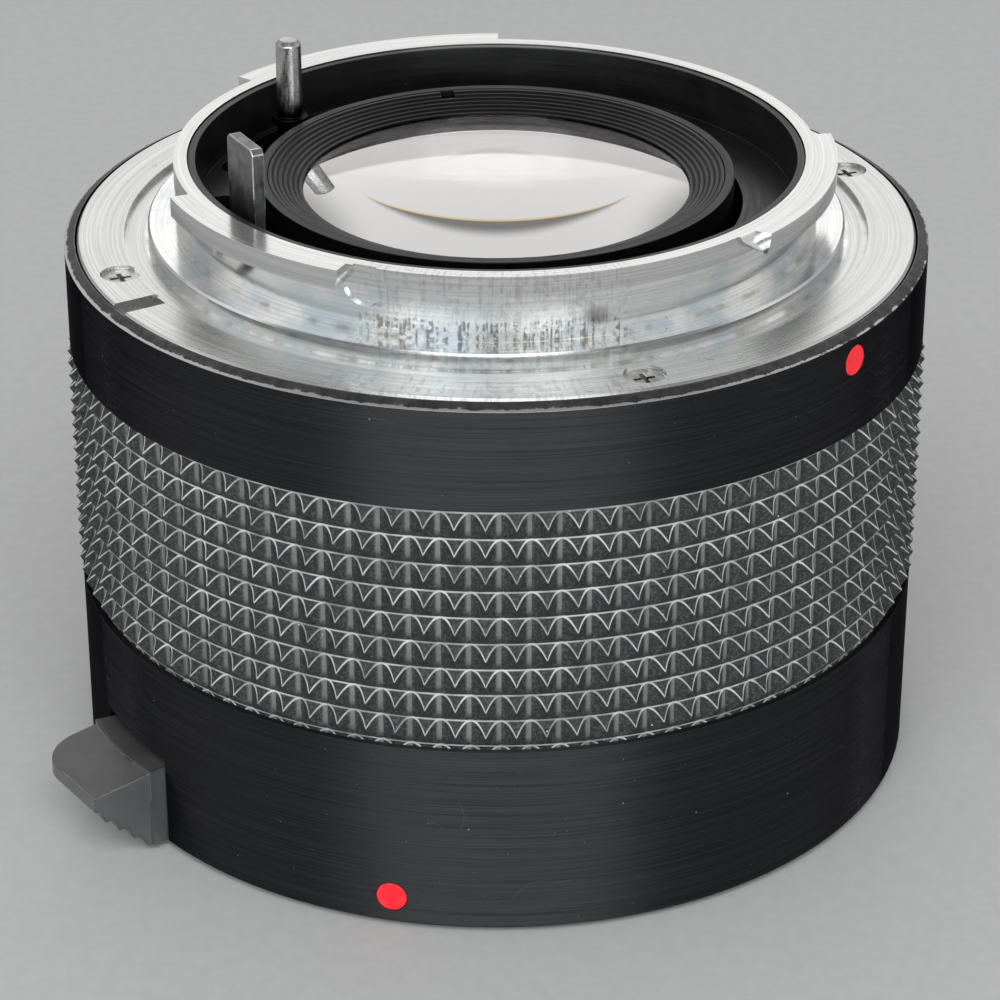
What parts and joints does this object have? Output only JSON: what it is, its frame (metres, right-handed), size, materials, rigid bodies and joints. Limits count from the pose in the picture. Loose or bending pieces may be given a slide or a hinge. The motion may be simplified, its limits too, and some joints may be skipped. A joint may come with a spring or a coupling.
{
  "type": "camera teleconverter",
  "caption": "Short cylindrical camera teleconverter with a studded rubber grip, a male bayonet with coupling levers at the rear and a female bayonet with a release lever at the front.",
  "frame": {"origin": "on the optical axis, in the plane of the front flange, at the mouth of the front counterbore", "axes": "+Z along the optical axis towards the camera, -Y through the index dot of the front mount"},
  "size_m": [0.0624, 0.0624, 0.0503],
  "materials": {
    "black_anodised": "satin black anodised, fine turning lines, worn edges",
    "grip_rubber": "moulded dark grey rubber",
    "red_paint": "red paint in a round recess",
    "plated_metal": "plated brass, fine turned scratches",
    "screw_steel": "bright steel",
    "shield_black": "matt black coating",
    "cell_black": "matt black anodised, ridged",
    "lens_glass": "coated optical glass",
    "ring_brass": "turned brass",
    "lever_steel": "ground steel",
    "spring_steel": "spring steel"
  },
  "bodies": {
    "housing": {"barrel": "black_anodised", "grip_ring": "grip_rubber", "front_index_dot": "red_paint", "rear_index_dot": "red_paint", "rear_mount": "plated_metal", "front_mount": "plated_metal", "rear_mount_screws": "screw_steel", "front_mount_screws": "screw_steel", "bulkhead_screws": "screw_steel", "rear_baffle": "shield_black", "front_baffle": "shield_black", "rear_baffle_screws": "shield_black", "bulkhead": "shield_black", "optical_tube": "cell_black", "rear_cell": "cell_black", "rear_retaining_ring": "cell_black", "front_retaining_ring": "cell_black", "front_spacer": "cell_black", "middle_spacer": "cell_black", "rear_spacer": "cell_black", "lens_1": "lens_glass", "lens_2": "lens_glass", "lens_3": "lens_glass", "lens_4": "lens_glass", "lens_5": "lens_glass", "lens_6": "lens_glass", "lens_7": "lens_glass", "tube_nut": "ring_brass", "ring_spacer": "ring_brass", "bayonet_springs": "spring_steel", "ring_retainer": "spring_steel", "stop_down_spring": "spring_steel", "aperture_spring": "spring_steel", "release_spring": "spring_steel"},
    "stop_down_link": {"stop_down_ring": "ring_brass", "stop_down_pin": "lever_steel", "stop_down_fork": "lever_steel"},
    "aperture_link": {"aperture_ring": "ring_brass", "aperture_lever": "lever_steel", "aperture_fork": "lever_steel"},
    "release": {"release_lever": "black_anodised", "lock_pin": "lever_steel"}
  },
  "joints": [
    {"name": "stop_down_turn", "type": "hinge", "parent": "housing", "child": "stop_down_link", "pos_m": [0, 0, 0.0323], "axis": [0, 0, 1], "range_deg": [0, 20], "stiffness_Nm_per_rad": 0.01, "springref_deg": -17.19, "deforming": ["stop_down_spring"]},
    {"name": "aperture_turn", "type": "hinge", "parent": "housing", "child": "aperture_link", "pos_m": [0, 0, 0.0291], "axis": [0, 0, 1], "range_deg": [-20, 0], "stiffness_Nm_per_rad": 0.01, "springref_deg": 17.19, "deforming": ["aperture_spring"]},
    {"name": "release_slide", "type": "slide", "parent": "housing", "child": "release", "axis": [0, 0, 1], "range_m": [-0.0009, 0.0006], "stiffness_N_per_m": 500, "springref_m": -0.0015, "deforming": ["release_spring"]}
  ]
}
